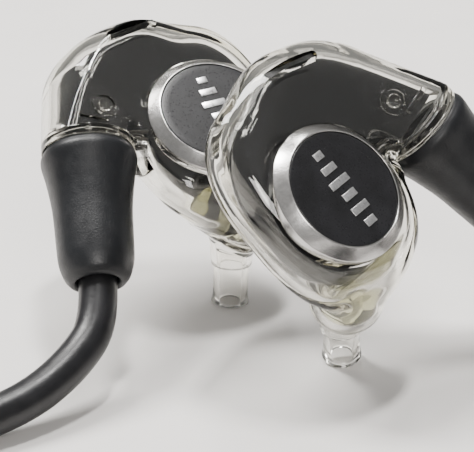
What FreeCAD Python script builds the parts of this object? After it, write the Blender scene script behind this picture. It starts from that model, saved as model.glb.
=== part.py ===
"""A pair of fixed-cable in-ear monitors: clear shells over dark driver housings, rubber boots,
two legs of cable that meet in a splitter, and one main cable that ends in a push-pull plug.

Each earpiece is designed once, in its own axes: the origin at the middle of the face ring, +X towards
the cable arm, +Y towards the nozzle side and +Z out of the face. That is the left ear's piece. The
right ear's piece is its mirror image in the YZ plane. Both stand on a table at z = 0, leaning on
their nozzles, with the origin under the middle of the two. All sizes are millimetres.
"""
import FreeCAD, Part
import math
import os
from FreeCAD import Vector as V

# ---------------------------------------------------------------- driving dimensions
RING_R = 5.75              # outer radius of the silver face ring
DISC_R = 4.74              # radius of the face disc inside the ring
RING_RISE = 0.77           # the ring's inner edge stands this far above its outer edge
SEAT_DEPTH = 1.0           # depth of the ring's seat below its outer edge
WALL = 0.7                 # clear shell wall
SHELL_GAP = 0.55           # air between the clear shell and the dark housing
CHAMBER_INSET = 0.80       # skin of the amber chamber below the outer skin
ARM_SPLIT = 7.6            # x of the joint between the driver housing and the arm core
POD_END = 5.7              # y where the dark housing ends and the acoustic chamber begins

CABLE_D = 3.1              # diameter of every cable
FLOOR_Z = 0.02             # lowest point of anything that lies on the table
COIL_LIFT = 0.6            # a coil stands on its tie band, this far up

# soft-edged body shape: centres and radii of the forms that blend into the earpiece
POD_CENTRE = V(0.25, -1.30, -2.77)
POD_HALF = V(7.04, 9.36, 3.27)
POD_LEAN = (0.17, -0.24)            # sideways shift of the pod per unit of height
POD_POWER = 2.7                     # 2 is an ellipsoid, more is boxier
SHOULDER = (V(3.41, -7.04, -2.42), 4.84)
ELBOW = (V(8.08, -5.82, -3.08), 4.27)
NECK = (V(11.47, 0.10, -0.92), 3.55)
BELLY = (V(1.50, -1.00, -3.70), 5.10)
THROAT = (V(0.36, 4.82, -4.92), 3.83)
THROAT_END = (V(-0.89, 6.45, -6.11), 2.87)
ARM_BLEND = 2.0
THROAT_BLEND = 1.5
DISH_SLOPE = 0.30                   # the face falls away no faster than this around the ring
BODY_NEAR = -8.0                    # x where the search for each end of the body starts
BODY_FAR = 16.0
END_FLAT = 0.12                     # how deep the end sections lie under the skin
PARTING = (-3.4, 0.10)              # the two shells meet on the plane z = first + second * x
LEVELS = 21                         # sections in a lofted body
SPOKES = 14                         # steps along each half section's arch

# nozzle
SEAM = V(0.04, 8.38, -10.42)        # middle of the joint between collar and nozzle tube
TIP = V(0.45, 10.42, -13.45)        # middle of the nozzle's open end
NOZZLE_BORE_R = 0.95
NOZZLE_R = 1.60
NOZZLE_EDGE = 0.12                  # chamfer of the nozzle's rim
COLLAR_R = 1.75
COLLAR_ROOT_R = 2.20               # where the collar grows out of the shell
COLLAR_LENGTH = 4.2
TUBE_INSERT = 1.6                   # length of nozzle tube inside the collar
SPIGOT_R = 1.25
THROAT_BORE_R = 0.80

# cable boot
BOOT_AXIS = V(0.304, 0.944, -0.132).normalize()
BOOT_LENGTH = 11.6
BOOT_OUTLINE = ((0.0, 3.75), (0.9, 3.95), (2.6, 3.60), (5.0, 3.26), (7.5, 3.15), (9.6, 3.05),
                (10.9, 2.70), (11.6, 2.10))
BOOT_SOCKET = (2.2, 4.0)            # radius and depth of the hollow at the boot's wide end
NECK_RING_LENGTH = 0.9
NECK_RING_R = (3.55, 2.6)           # outer and inner radius
NECK_CUT_R = 4.35

# vent slot, moulded ring and raised bar on the clear face shell
SLOT_START = V(1.16, -10.21, 0.11)
SLOT_END = V(5.96, -9.06, -0.06)
SLOT_WIDTH = 1.15
SCREEN_DEPTH = 0.75                 # top of the dark screen below the shell's skin
SCREEN_THICK = 0.15
BOSS_AT = (9.16, -2.80)
BOSS_R = (1.15, 0.88)               # outer and inner radius of the moulded ring
BOSS_RISE = 0.16
BUTTON_R = 0.60
BUTTON_DEPTH = 0.35
BAR_AT = (10.65, -1.75)
BAR_SIZE = (2.6, 0.45, 0.22)        # length, width and height above the skin

# driver inside the dark housing
DRIVER_R = 4.40
DRIVER_BORE_R = 4.45
DRIVER_FLOOR = -4.30
STATOR_THICK = 0.50
SPACER_THICK = 0.15
SPACER_BORE_R = 3.90
FILM_THICK = 0.08
RETAINER_BORE_R = 3.60
STATOR_HOLE_R = 0.40
STATOR_HOLE_RINGS = ((0.0, 1), (1.4, 6), (2.8, 12))
WIRE_R = 0.18
WIRE_BORE_R = 0.75
WIRE_START = V(11.10, -0.75, -1.00)
WIRE_END = V(4.00, -0.60, -2.20)
MARK_BARS = (0.9, 1.5, 2.1, 1.4, 1.8, 1.1)   # lengths of the bars in the plain silver mark
MARK_PITCH = 1.25
MARK_BAR_WIDTH = 0.62
MARK_RISE = 0.08

# where each earpiece stands: middle of its face ring, direction of the face, direction of its +Y
PLACES = {
    "left": {"at": V(-5.91, 5.23, 17.03), "face": V(0.205, -0.518, 0.8305),
             "nozzle_side": V(0.416, -0.7215, -0.5534), "mirrored": False},
    "right": {"at": V(3.69, -11.12, 16.95), "face": V(0.457, -0.580, 0.674),
              "nozzle_side": V(0.632, -0.3207, -0.7055), "mirrored": True},
}

# ---------------------------------------------------------------- cable layout on the table
LIE = FLOOR_Z + CABLE_D / 2         # centre height of a cable on the table
LIFTED = LIE + COIL_LIFT            # centre height of a coil's lower layer
LAYER = CABLE_D + 0.02              # rise from a coil's lower layer to its upper one
PAIR = CABLE_D + 0.04               # spacing of the two legs side by side

# a coil winds inwards on its lower layer and back outwards on its upper one, counter-clockwise
LEG_COIL = {"at": (-11.1, -54.7), "radius": 18.3, "pitch": 2 * PAIR, "start": 90.0, "sweep": 427.5,
            "ring_shift": (-1.75, -0.45), "ring_radius": 19.9}
MAIN_COIL = {"at": (27.9, -54.7), "radius": 20.3, "pitch": CABLE_D + 0.02, "start": 350.0,
             "sweep": 1092.5, "ring_shift": (0.75, 0.0), "ring_radius": 21.1}
LEFT_JOINS = 105.0                  # the left leg joins the coil this far after the right leg

# centre points of each free stretch, where the cable isn't coiled, after its straight first run
LEFT_LEAD = [(-16.6, -13.9, 3.9), (-19.7, -17.3, 2.4), (-24.2, -20.4, 1.75),
             (-28.1, -24.0, LIE), (-30.6, -30.0, LIE), (-31.2, -38.5, 1.9), (-31.2, -49.0, LIFTED)]
RIGHT_LEAD = [(27.4, -2.6, 4.4), (33.0, -5.6, 2.4), (37.4, -11.6, LIE),
              (37.8, -19.6, LIE), (31.9, -27.2, LIE), (21.4, -30.4, LIE), (9.4, -31.0, LIE),
              (-0.1, -35.5, 1.9)]
PAIR_TAIL = [(-19.1, -72.6, 5.2), (-14.5, -76.8, 3.9), (-8.2, -78.9, 2.6), (0.8, -79.5, LIFTED),
             (17.8, -79.5, LIFTED)]
SPLITTER_START = (17.8, -79.5, 2.52)
MAIN_LEAD = [(30.8, -79.5, 2.52), (36.4, -79.5, 2.52), (43.0, -75.9, 2.3), (47.2, -67.6, 2.2)]
MAIN_TAIL = [(45.7, -43.0, 5.0), (44.8, -36.2, 4.52), (44.8, -29.5, 4.52)]
STRAIGHT_OUT = {"left": 3.2, "right": 4.5}      # first run of each leg, along its boot

SPLITTER_SIZE = (13.0, 6.9, 5.0)
SLIDER_SIZE = (6.0, 7.6, 4.3)
SLIDER_AT = (11.3, -79.5, LIFTED)
RUNNING_GAP = 0.05                  # radial clearance of the slider on its legs, and of the sleeve
TIE_WIDTH = 5.0
TIE_THICK = 0.55
TIE_GAP = 0.3
LEG_TIE_ANGLE = 300.0
MAIN_TIE_ANGLE = 60.0

# push-pull plug: distances along its axis from the cable's end, and radii
PLUG_START = MAIN_TAIL[-1]
PLUG_BOOT = ((0.0, 2.0), (1.2, 2.3), (16.6, 3.5), (20.0, 3.7))
PLUG_COLLAR = (20.0, 23.0, 4.4)
PLUG_WAIST_R = 3.9
PLUG_NOSE = (35.2, 45.0, 3.6)
PLUG_CAVITY = (38.0, 2.8)
PLUG_SLEEVE = (24.7, 35.1, 4.5)
SLEEVE_GROOVES = (25.8, 27.0, 28.2, 29.4)
PLUG_INSERT_LENGTH = 4.0
PLUG_PIN = (0.32, 6.0, 1.6)         # radius, length and radius of the circle they stand on
PLUG_PINS = 6

PARTS = "parts"


# ---------------------------------------------------------------- body shape as a soft distance
def blend(a, b, reach):
    """Smaller of two distances, with a round fillet where they meet."""
    h = min(max(0.5 + 0.5 * (b - a) / reach, 0.0), 1.0)
    return b * (1.0 - h) + a * h - reach * h * (1.0 - h)


def round_cone(p, start, end):
    """Distance to a tapered rod with ball ends."""
    (a, ra), (b, rb) = start, end
    run = b - a
    h = min(max((p - a).dot(run) / run.dot(run), 0.0), 1.0)
    return (p - a - run * h).Length - (ra + (rb - ra) * h)


def body(p):
    """Negative inside the earpiece's outer skin, positive outside."""
    q = p - POD_CENTRE
    x = abs(q.x - POD_LEAN[0] * q.z) / POD_HALF.x
    y = abs(q.y - POD_LEAN[1] * q.z) / POD_HALF.y
    z = abs(q.z) / POD_HALF.z
    mean_half = (POD_HALF.x + POD_HALF.y + POD_HALF.z) / 3.0
    pod = ((x ** POD_POWER + y ** POD_POWER + z ** POD_POWER) ** (1.0 / POD_POWER) - 1.0) * mean_half
    belly = (p - BELLY[0]).Length - BELLY[1]
    arm = min(round_cone(p, SHOULDER, ELBOW), round_cone(p, ELBOW, NECK))
    form = blend(blend(pod, belly, ARM_BLEND), arm, ARM_BLEND)
    form = blend(form, round_cone(p, THROAT, THROAT_END), THROAT_BLEND)
    dish = p.z - DISH_SLOPE * max(math.hypot(p.x, p.y) - RING_R, 0.0) - 0.05
    return -blend(-form, -dish, 0.8)


def section_centre(x):
    """Middle of the body's cross-section at this x, on the parting plane."""
    out = min(max((x - 5.0) / 5.0, 0.0), 1.0)
    far = min(max((x - 11.0) / 4.0, 0.0), 1.0)
    return V(x, -1.0 - 3.2 * out + 3.2 * far, PARTING[0] + PARTING[1] * x)


def skin_point(centre, angle, inset):
    """Point on the skin, moved in by inset, on the ray at this angle from the section's centre."""
    ray = V(0, math.cos(angle), math.sin(angle))
    near = 0.0
    far = 0.5
    while far < 20.0 and body(centre + ray * far) + inset < 0:
        near = far
        far += 0.5
    for _ in range(22):
        mid = (near + far) / 2.0
        if body(centre + ray * mid) + inset < 0:
            near = mid
        else:
            far = mid
    return centre + ray * near


def section(x, inset, side):
    """Half of a cross-section: a smooth arch over the parting line, closed by a straight edge."""
    centre = section_centre(x)
    arch = [skin_point(centre, side * math.pi * k / SPOKES, inset) for k in range(SPOKES + 1)]
    curve = Part.BSplineCurve()
    curve.interpolate(Points=arch, Parameters=list(range(SPOKES + 1)))
    return Part.Wire([curve.toShape(), Part.makeLine(arch[-1], arch[0])])


def end_of_body(guess, inset, inwards):
    """Last x at which the section's centre is still inside the inset skin."""
    x = guess
    while body(section_centre(x)) + inset > -END_FLAT:
        x += inwards * 0.02
    return x


def half_body(inset, side):
    """One half of the earpiece's form, lofted along X, with its skin moved in by inset.

    The halves meet on the parting plane. Side 1 is the face's side and -1 the ear's.
    """
    first = end_of_body(BODY_NEAR, inset, 1)
    last = end_of_body(BODY_FAR, inset, -1)
    cuts = []
    for k in range(LEVELS):
        t = 0.5 - 0.5 * math.cos(math.pi * k / (LEVELS - 1))
        cuts.append(first + (last - first) * t)
    return Part.makeLoft([section(x, inset, side) for x in cuts], True, False)


# ---------------------------------------------------------------- small helpers
def outward(p):
    """Direction straight out of the skin at p."""
    e = 0.02
    return V(body(p + V(e, 0, 0)) - body(p - V(e, 0, 0)),
             body(p + V(0, e, 0)) - body(p - V(0, e, 0)),
             body(p + V(0, 0, e)) - body(p - V(0, 0, e))).normalize()


def on_skin(p):
    """Nearest point to p on the skin, by a few steps along the outward direction."""
    for _ in range(12):
        p = p - outward(p) * body(p) * 0.8
    return p


def rod(start, axis, length, radius):
    return Part.makeCylinder(radius, length, start, axis)


def pipe(start, axis, length, outer, inner):
    return rod(start, axis, length, outer).cut(rod(start, axis, length, inner))


def block(centre, along, up, size):
    """Box of size (along, across, up), centred at a point and turned to two directions."""
    along = V(along).normalize()
    across = V(up).cross(along).normalize()
    up = along.cross(across)
    box = Part.makeBox(size[0], size[1], size[2], V(-size[0] / 2, -size[1] / 2, -size[2] / 2))
    turn = FreeCAD.Matrix(along.x, across.x, up.x, centre.x, along.y, across.y, up.y, centre.y,
                          along.z, across.z, up.z, centre.z, 0, 0, 0, 1)
    return box.transformGeometry(turn)


def slab(x=(-40, 40), y=(-40, 40), z=(-40, 40)):
    """Part of space between the given limits."""
    return Part.makeBox(x[1] - x[0], y[1] - y[0], z[1] - z[0], V(x[0], y[0], z[0]))


def spun(points, start, axis):
    """Solid turned about an axis from (distance along, radius) points, in order round its section."""
    corners = [V(r, 0, s) for s, r in points]
    face = Part.Face(Part.makePolygon(corners + [corners[0]]))
    solid = face.revolve(V(0, 0, 0), V(0, 0, 1), 360)
    solid.Placement = FreeCAD.Placement(start, FreeCAD.Rotation(V(0, 0, 1), axis))
    return solid


def smooth_spun(outline, inner, start, axis):
    """As spun, with a smooth outer curve through the outline and a plain bore."""
    curve = Part.BSplineCurve()
    curve.interpolate([V(r, 0, s) for s, r in outline])
    (s0, r0), (s1, r1) = outline[0], outline[-1]
    lines = [V(r1, 0, s1), V(inner, 0, s1), V(inner, 0, s0), V(r0, 0, s0)]
    edges = [curve.toShape()] + [Part.makeLine(a, b) for a, b in zip(lines, lines[1:])]
    face = Part.Face(Part.Wire(edges))
    solid = face.revolve(V(0, 0, 0), V(0, 0, 1), 360)
    solid.Placement = FreeCAD.Placement(start, FreeCAD.Rotation(V(0, 0, 1), axis))
    return solid


# ---------------------------------------------------------------- pieces of one earpiece
NOZZLE_AXIS = (TIP - SEAM).normalize()
FACE_SIDE = 1
EAR_SIDE = -1
NECK_CUT = rod(NECK[0] - BOOT_AXIS * NECK_RING_LENGTH, BOOT_AXIS, 16.0, NECK_CUT_R)
CORE_NECK_CUT = rod(NECK[0] - BOOT_AXIS * (NECK_RING_LENGTH + 0.3), BOOT_AXIS, 16.0, NECK_CUT_R)
SEAT = rod(V(0, 0, -SEAT_DEPTH), V(0, 0, 1), 6.0, RING_R + 0.02)
WIRE_BORE = rod(WIRE_START, WIRE_END - WIRE_START, (WIRE_END - WIRE_START).Length, WIRE_BORE_R)
THROAT_BORE = rod(SEAM - NOZZLE_AXIS * 9.0, NOZZLE_AXIS, 9.1, THROAT_BORE_R)


def slot_frame():
    """Middle of the vent slot on the skin, its direction along, and its direction out."""
    middle = on_skin((SLOT_START + SLOT_END) * 0.5)
    out = outward(middle)
    along = SLOT_END - SLOT_START
    along = (along - out * along.dot(out)).normalize()
    return middle, along, out


def shell_half(side):
    """Half of the clear skin, cut off square where the neck ring begins."""
    return half_body(0.0, side).cut(half_body(WALL, side)).cut(NECK_CUT)


def largest(shape):
    return max(shape.Solids, key=lambda solid: solid.Volume)


def outer_shell():
    """Clear shell on the face side, with the ring's seat, the vent slot and moulded details."""
    shell = shell_half(FACE_SIDE).cut(SEAT)
    middle, along, out = slot_frame()
    slot_length = (SLOT_END - SLOT_START).Length
    shell = shell.cut(block(middle, along, out, (slot_length, SLOT_WIDTH, 2.4)))
    boss = on_skin(V(BOSS_AT[0], BOSS_AT[1], 1.0))
    up = outward(boss)
    shell = shell.fuse(pipe(boss - up * 0.3, up, 0.3 + BOSS_RISE, BOSS_R[0], BOSS_R[1]))
    shell = shell.cut(rod(boss - up * BUTTON_DEPTH, up, 1.0, BUTTON_R))
    bar = on_skin(V(BAR_AT[0], BAR_AT[1], 1.5))
    up = outward(bar)
    shell = shell.fuse(block(bar, BOOT_AXIS.cross(up), up, (BAR_SIZE[0], BAR_SIZE[1], 2 * BAR_SIZE[2])))
    return largest(shell)


def inner_shell():
    """Clear shell on the ear side, with the collar that holds the nozzle."""
    shell = shell_half(EAR_SIDE)
    collar = spun([(0.0, 0.0), (0.0, COLLAR_ROOT_R), (COLLAR_LENGTH, COLLAR_R), (COLLAR_LENGTH, 0.0)],
                  SEAM - NOZZLE_AXIS * COLLAR_LENGTH, NOZZLE_AXIS)
    shell = shell.fuse(collar.cut(half_body(WALL, EAR_SIDE)))
    shell = shell.cut(THROAT_BORE)
    shell = shell.cut(rod(SEAM - NOZZLE_AXIS * TUBE_INSERT, NOZZLE_AXIS, TUBE_INSERT + 0.1, SPIGOT_R))
    return largest(shell)


def nozzle():
    """Clear sound tube, its spigot glued into the collar."""
    length = (TIP - SEAM).Length
    outline = [(-TUBE_INSERT, NOZZLE_BORE_R), (-TUBE_INSERT, SPIGOT_R), (0.0, SPIGOT_R),
               (0.0, NOZZLE_R), (length - NOZZLE_EDGE, NOZZLE_R), (length, NOZZLE_R - NOZZLE_EDGE),
               (length, NOZZLE_BORE_R)]
    return spun(outline, SEAM, NOZZLE_AXIS)


def acoustic_chamber():
    """Clear amber block that carries the sound from the driver housing to the nozzle."""
    chamber = half_body(CHAMBER_INSET, EAR_SIDE).common(slab(y=(POD_END + 0.1, 30)))
    return largest(chamber.cut(THROAT_BORE))


def sound_port():
    """Passage from the driver's floor to the acoustic chamber."""
    start = V(0.3, 2.6, DRIVER_FLOOR + 0.2)
    end = SEAM - NOZZLE_AXIS * 5.6
    return rod(start, end - start, (end - start).Length, THROAT_BORE_R)


def housing(side):
    half = half_body(WALL + SHELL_GAP, side)
    half = half.common(slab(x=(-30, ARM_SPLIT - 0.05), y=(-30, POD_END)))
    half = half.cut(rod(V(0, 0, DRIVER_FLOOR), V(0, 0, 1), 12.0, DRIVER_BORE_R))
    half = half.cut(rod(V(0, 0, -SEAT_DEPTH), V(0, 0, 1), 6.0, RING_R + 0.05))
    return largest(half.cut(WIRE_BORE).cut(sound_port()))


def housing_front():
    return housing(FACE_SIDE)


def housing_back():
    return housing(EAR_SIDE)


def arm_core():
    """Dark body in the cable arm, between the driver housing and the boot."""
    room = slab(x=(ARM_SPLIT + 0.05, 30))
    halves = [half_body(WALL + SHELL_GAP, side).common(room) for side in (FACE_SIDE, EAR_SIDE)]
    arm = halves[0].fuse(halves[1])
    return largest(arm.cut(CORE_NECK_CUT).cut(WIRE_BORE))


def face_ring():
    """Silver ring: a bevel that rises inwards, on a base that sits in the housing."""
    ledge = -0.15
    outline = [(0.0, RING_R), (RING_RISE, DISC_R + 0.05), (RING_RISE, DISC_R), (ledge, DISC_R),
               (ledge, DISC_R - 0.5), (-SEAT_DEPTH, DISC_R - 0.5), (-SEAT_DEPTH, RING_R)]
    return spun(outline, V(0, 0, 0), V(0, 0, 1))


DISC_TOP = RING_RISE - 0.05


def face_disc():
    disc = rod(V(0, 0, -0.15), V(0, 0, 1), DISC_TOP + 0.15, DISC_R)
    rim = [edge for edge in disc.Edges if edge.BoundBox.ZMin > DISC_TOP - 0.01]
    return disc.makeFillet(0.1, rim)


def face_mark():
    """Plain row of silver bars."""
    bars = []
    for k, length in enumerate(MARK_BARS):
        y = (k - (len(MARK_BARS) - 1) / 2.0) * MARK_PITCH
        centre = V(0, y, DISC_TOP + MARK_RISE / 2)
        bars.append(block(centre, V(1, 0, 0), V(0, 0, 1), (length, MARK_BAR_WIDTH, MARK_RISE)))
    return Part.makeCompound(bars)


def button():
    """Raised plug in the middle of the moulded ring."""
    boss = on_skin(V(BOSS_AT[0], BOSS_AT[1], 1.0))
    up = outward(boss)
    return rod(boss - up * BUTTON_DEPTH, up, BUTTON_DEPTH + 0.12, BUTTON_R)


def vent_screen():
    middle, along, out = slot_frame()
    slot_length = (SLOT_END - SLOT_START).Length
    depth = SCREEN_DEPTH + SCREEN_THICK / 2
    return block(middle - out * depth, along, out, (slot_length, SLOT_WIDTH, SCREEN_THICK))


STATOR_BACK_Z = DRIVER_FLOOR
SPACER_Z = STATOR_BACK_Z + STATOR_THICK
FILM_Z = SPACER_Z + SPACER_THICK
STATOR_FRONT_Z = FILM_Z + FILM_THICK
RETAINER_Z = STATOR_FRONT_Z + STATOR_THICK


def stator(z):
    plate = rod(V(0, 0, z), V(0, 0, 1), STATOR_THICK, DRIVER_R)
    for ring_r, count in STATOR_HOLE_RINGS:
        for k in range(count):
            angle = 2 * math.pi * k / count
            hole = V(ring_r * math.cos(angle), ring_r * math.sin(angle), z - 0.1)
            plate = plate.cut(rod(hole, V(0, 0, 1), STATOR_THICK + 0.2, STATOR_HOLE_R))
    return plate


def stator_back():
    return stator(STATOR_BACK_Z)


def stator_front():
    return stator(STATOR_FRONT_Z)


def spacer_ring():
    return pipe(V(0, 0, SPACER_Z), V(0, 0, 1), SPACER_THICK, DRIVER_R, SPACER_BORE_R)


def diaphragm():
    return rod(V(0, 0, FILM_Z), V(0, 0, 1), FILM_THICK, DRIVER_R)


def driver_retainer():
    """Ring that clamps the driver stack under the face ring, notched for the wires."""
    height = -SEAT_DEPTH - RETAINER_Z
    ring = pipe(V(0, 0, RETAINER_Z), V(0, 0, 1), height, DRIVER_R, RETAINER_BORE_R)
    return ring.cut(slab(x=(2.0, 6.0), y=(-1.6, 0.4)))


def lead_wires():
    """Three insulated wires from the cable's end to the driver."""
    axis = (WIRE_END - WIRE_START).normalize()
    side = axis.cross(V(0, 0, 1)).normalize()
    up = side.cross(axis)
    wires = []
    for k in range(3):
        angle = 2 * math.pi * k / 3
        shift = (side * math.cos(angle) + up * math.sin(angle)) * 0.36
        wires.append(rod(WIRE_START + axis * 0.6 + shift, axis, 6.0, WIRE_R))
    return Part.makeCompound(wires)


def neck_ring():
    return pipe(NECK[0] - BOOT_AXIS * NECK_RING_LENGTH, BOOT_AXIS, NECK_RING_LENGTH, *NECK_RING_R)


def boot():
    """Rubber cable boot: a barrel that narrows to the cable, hollow at its wide end."""
    solid = smooth_spun(BOOT_OUTLINE, 0.0, NECK[0], BOOT_AXIS)
    radius, depth = BOOT_SOCKET
    return solid.cut(rod(NECK[0] - BOOT_AXIS * 0.1, BOOT_AXIS, depth + 0.1, radius))


EAR_PIECES = {
    "outer_shell": outer_shell, "inner_shell": inner_shell, "nozzle": nozzle,
    "acoustic_chamber": acoustic_chamber, "housing_front": housing_front,
    "housing_back": housing_back, "arm_core": arm_core, "face_ring": face_ring,
    "face_disc": face_disc, "face_mark": face_mark, "button": button, "vent_screen": vent_screen,
    "stator_front": stator_front, "stator_back": stator_back, "spacer_ring": spacer_ring,
    "diaphragm": diaphragm, "driver_retainer": driver_retainer, "lead_wires": lead_wires,
    "neck_ring": neck_ring, "boot": boot,
}


# ---------------------------------------------------------------- placing the earpieces
def placement(place):
    """Turn and shift of an earpiece from its own axes to where it stands."""
    z = V(place["face"]).normalize()
    y = V(place["nozzle_side"])
    y = (y - z * y.dot(z)).normalize()
    x = y.cross(z)
    at = place["at"]
    return FreeCAD.Placement(FreeCAD.Matrix(x.x, y.x, z.x, at.x, x.y, y.y, z.y, at.y,
                                            x.z, y.z, z.z, at.z, 0, 0, 0, 1))


def placed(shape, place):
    """Copy of an earpiece's shape where it stands, mirrored for the right ear."""
    moved = shape.mirror(V(0, 0, 0), V(1, 0, 0)) if place["mirrored"] else shape.copy()
    moved.Placement = placement(place).multiply(moved.Placement)
    return moved


def placed_point(point, place):
    flip = -1.0 if place["mirrored"] else 1.0
    return placement(place).multVec(V(flip * point.x, point.y, point.z))


def boot_exit(side):
    """Where a leg leaves its boot, and the end of its straight first run."""
    end = NECK[0] + BOOT_AXIS * BOOT_LENGTH
    return [placed_point(end + BOOT_AXIS * run, PLACES[side]) for run in (0.0, STRAIGHT_OUT[side])]


# ---------------------------------------------------------------- cable
def on_coil(coil, turned, shift=0.0):
    """Centre of a cable that has turned this many degrees round a coil."""
    wound = min(turned, 2 * coil["sweep"] - turned)
    radius = coil["radius"] - coil["pitch"] * wound / 360.0 + shift
    angle = math.radians(coil["start"] + turned)
    height = LIFTED if turned < coil["sweep"] else LIFTED + LAYER
    return V(coil["at"][0] + radius * math.cos(angle), coil["at"][1] + radius * math.sin(angle), height)


def coil_end(coil, shift=0.0):
    return on_coil(coil, 2 * coil["sweep"], shift)


def beside(points, shift):
    """Points of a parallel route, this far to the left of one that is seen from above."""
    moved = []
    for k, point in enumerate(points):
        before = points[max(k - 1, 0)]
        after = points[min(k + 1, len(points) - 1)]
        along = V(after.x - before.x, after.y - before.y, 0).normalize()
        moved.append(point + V(-along.y, along.x, 0) * shift)
    return moved


def tube(label, points):
    """Round cable along straight runs joined by the largest arcs that the runs allow."""
    edges = []
    start = points[0]
    radii = []
    for before, corner, after in zip(points, points[1:], points[2:]):
        back = before - corner
        on = after - corner
        reach = 0.45 * min(back.Length, on.Length)
        half_turn = (math.pi - back.getAngle(on)) / 2.0
        radius = reach / math.tan(half_turn)
        back.normalize()
        on.normalize()
        inward = (back + on).normalize()
        middle = corner + inward * (math.hypot(reach, radius) - radius)
        edges.append(Part.LineSegment(start, corner + back * reach).toShape())
        edges.append(Part.Arc(corner + back * reach, middle, corner + on * reach).toShape())
        start = corner + on * reach
        radii.append(radius)
    edges.append(Part.LineSegment(start, points[-1]).toShape())
    path = Part.Wire(edges)
    rim = Part.Wire(Part.Circle(points[0], points[1] - points[0], CABLE_D / 2).toShape())
    solid = path.makePipeShell([rim], True, False)
    section = math.pi * CABLE_D ** 2 / 4
    print(label, "length", round(path.Length, 1), "volume over section times length",
          round(solid.Volume / (section * path.Length), 4), "radii", [round(r, 1) for r in radii])
    return solid


def vectors(points):
    return [V(*point) for point in points]


def inner_edge(coil, strands):
    """Radius of the hole in the middle of a coil."""
    spread = CABLE_D / 2 + (strands - 1) * PAIR / 2
    return coil["radius"] - coil["pitch"] * coil["sweep"] / 360.0 - spread


def outer_edge(coil, along):
    """Distance from a coil's centre to the outside of its ring, which stands off centre."""
    shift = V(*coil["ring_shift"], 0)
    ahead = shift.dot(along)
    return ahead + math.sqrt(coil["ring_radius"] ** 2 - shift.Length ** 2 + ahead ** 2)


def coil_body(coil, strands):
    """Outer shape of a coil of one strand, or of two side by side, in two layers."""
    base = V(coil["at"][0], coil["at"][1], LIFTED - CABLE_D / 2)
    height = CABLE_D + LAYER
    ring = rod(base + V(*coil["ring_shift"], 0), V(0, 0, 1), height, coil["ring_radius"])
    return ring.cut(rod(base, V(0, 0, 1), height, inner_edge(coil, strands)))


def tie(coil, strands, degrees):
    """Flat strap looped round a coil's bundle, which stands on it."""
    angle = math.radians(degrees)
    along = V(math.cos(angle), math.sin(angle), 0)
    inner = inner_edge(coil, strands) - TIE_GAP
    outer = outer_edge(coil, along) + TIE_GAP
    low = LIFTED - CABLE_D / 2
    high = LIFTED + LAYER + CABLE_D / 2 + RUNNING_GAP
    centre = V(coil["at"][0], coil["at"][1], (low + high) / 2) + along * (inner + outer) / 2
    hollow = block(centre, along, V(0, 0, 1), (outer - inner, 2 * TIE_WIDTH, high - low))
    size = (outer - inner + 2 * TIE_THICK, TIE_WIDTH, high - low + 2 * TIE_THICK)
    return block(centre, along, V(0, 0, 1), size).cut(hollow)


def slider():
    """Sliding keeper that runs along both legs."""
    length = SLIDER_SIZE[0]
    centre = V(*SLIDER_AT)
    body = block(centre, V(1, 0, 0), V(0, 0, 1), SLIDER_SIZE)
    body = body.makeFillet(0.7, [edge for edge in body.Edges if edge.BoundBox.XLength > length - 0.1])
    for side in (1, -1):
        start = centre + V(-length, side * PAIR / 2, 0)
        body = body.cut(rod(start, V(1, 0, 0), 2 * length, CABLE_D / 2 + RUNNING_GAP))
    return body


def splitter():
    """Moulded block where two legs become one cable."""
    start = V(*SPLITTER_START)
    centre = start + V(SPLITTER_SIZE[0] / 2, 0, 0)
    body = block(centre, V(1, 0, 0), V(0, 0, 1), SPLITTER_SIZE)
    return body.makeFillet(1.4, [edge for edge in body.Edges if edge.BoundBox.XLength > 5.0])


def cables():
    """Every free stretch of cable and every coil, by name."""
    half = PAIR / 2
    tail = [coil_end(LEG_COIL)] + vectors(PAIR_TAIL)
    left_lead = boot_exit("left") + vectors(LEFT_LEAD) + [on_coil(LEG_COIL, LEFT_JOINS, half)]
    right_lead = boot_exit("right") + vectors(RIGHT_LEAD) + [on_coil(LEG_COIL, 0.0, -half)]
    routes = {
        "left_leg_lead": left_lead,
        "right_leg_lead": right_lead,
        "left_leg_tail": beside(tail, -half),
        "right_leg_tail": beside(tail, half),
        "main_cable_lead": vectors(MAIN_LEAD) + [on_coil(MAIN_COIL, 0.0)],
        "main_cable_tail": [coil_end(MAIN_COIL)] + vectors(MAIN_TAIL),
    }
    shapes = {name: tube(name, points) for name, points in routes.items()}
    shapes["legs_coil"] = coil_body(LEG_COIL, 2)
    shapes["main_cable_coil"] = coil_body(MAIN_COIL, 1)
    shapes["legs_tie"] = tie(LEG_COIL, 2, LEG_TIE_ANGLE)
    shapes["main_cable_tie"] = tie(MAIN_COIL, 1, MAIN_TIE_ANGLE)
    return shapes


# ---------------------------------------------------------------- plug
PLUG_AXIS = V(0, 1, 0)


def on_plug(distance):
    return V(*PLUG_START) + PLUG_AXIS * distance


def turned_on_plug(outline):
    return spun(outline, V(*PLUG_START), PLUG_AXIS)


def plug_boot():
    (s0, _), (s1, _) = PLUG_BOOT[0], PLUG_BOOT[-1]
    return turned_on_plug([(s0, 0.0)] + list(PLUG_BOOT) + [(s1, 0.0)])


def plug_body():
    """Metal shell with a collar, a waist under the sleeve and a hollow nose."""
    c0, c1, collar_r = PLUG_COLLAR
    n0, n1, nose_r = PLUG_NOSE
    floor, bore = PLUG_CAVITY
    return turned_on_plug([(c0, 0.0), (c0, collar_r), (c1, collar_r), (c1, PLUG_WAIST_R),
                           (n0, PLUG_WAIST_R), (n0, nose_r), (n1 - 0.3, nose_r), (n1, nose_r - 0.3),
                           (n1, bore), (floor, bore), (floor, 0.0)])


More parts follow.
